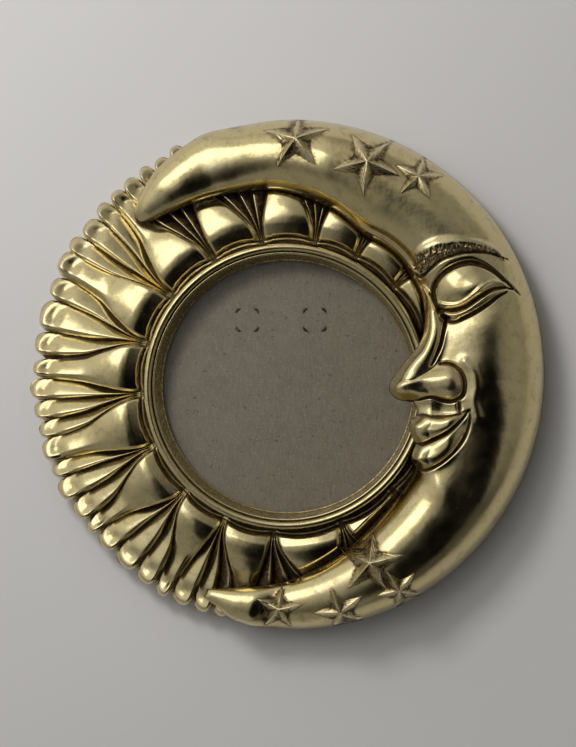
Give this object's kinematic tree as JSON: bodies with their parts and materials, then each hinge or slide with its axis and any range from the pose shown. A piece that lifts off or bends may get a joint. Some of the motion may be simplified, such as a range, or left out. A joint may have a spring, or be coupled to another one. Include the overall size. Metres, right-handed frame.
{
  "type": "picture frame",
  "caption": "Round gilt picture frame with a ring of sun rays and a crescent moon round a glazed opening, turn buttons and a folding easel leg behind.",
  "frame": {"origin": "centre of the round outline, on the plane that the frame's back rests on", "axes": "+Z is the way the picture faces, +Y the picture's top, +X the picture's right"},
  "size_m": [0.19, 0.1892, 0.03],
  "materials": {
    "gilt_casting": "antiqued polish, brown in the hollows",
    "gilt_bezel": "polished",
    "gilt_base": "satin",
    "glass": "clear",
    "board": "grey-brown pressed board",
    "velvet": "black flock",
    "leg_board": "board covered in black flock",
    "zinc": "zinc-plated"
  },
  "bodies": {
    "frame": {"base_ring": "gilt_base", "bezel_ring": "gilt_bezel", "sun_rays": "gilt_casting", "moon": "gilt_casting", "star_1": "gilt_casting", "star_2": "gilt_casting", "star_3": "gilt_casting", "star_4": "gilt_casting", "star_5": "gilt_casting", "star_6": "gilt_casting", "star_7": "gilt_casting", "glass": "glass", "backing_board": "board", "velvet": "velvet", "hinge_plate": "zinc", "hinge_pin": "zinc", "rivet_left": "zinc", "rivet_right": "zinc", "button_screws": "zinc", "flange_screws": "zinc", "ray_screws": "zinc", "moon_screws": "zinc"},
    "easel_leg": {"leg_leaf": "zinc", "leg": "leg_board", "leg_rivets": "zinc"},
    "button_1": {"turn_button_1": "zinc"},
    "button_2": {"turn_button_2": "zinc"},
    "button_3": {"turn_button_3": "zinc"},
    "button_4": {"turn_button_4": "zinc"}
  },
  "joints": [
    {"name": "leg_fold", "type": "hinge", "parent": "frame", "child": "easel_leg", "pos_m": [-0.0025, 0.008, 0.0041], "axis": [1, 0, 0], "range_deg": [0, 35]},
    {"name": "button_1_turn", "type": "hinge", "parent": "frame", "child": "button_1", "pos_m": [0.03917, 0.03477, 0.0056], "axis": [0, 0, 1], "range_deg": [-90, 90]},
    {"name": "button_2_turn", "type": "hinge", "parent": "frame", "child": "button_2", "pos_m": [-0.03917, 0.03477, 0.0056], "axis": [0, 0, 1], "range_deg": [-90, 90]},
    {"name": "button_3_turn", "type": "hinge", "parent": "frame", "child": "button_3", "pos_m": [-0.03917, -0.04357, 0.0056], "axis": [0, 0, 1], "range_deg": [-90, 90]},
    {"name": "button_4_turn", "type": "hinge", "parent": "frame", "child": "button_4", "pos_m": [0.03917, -0.04357, 0.0056], "axis": [0, 0, 1], "range_deg": [-90, 90]}
  ]
}
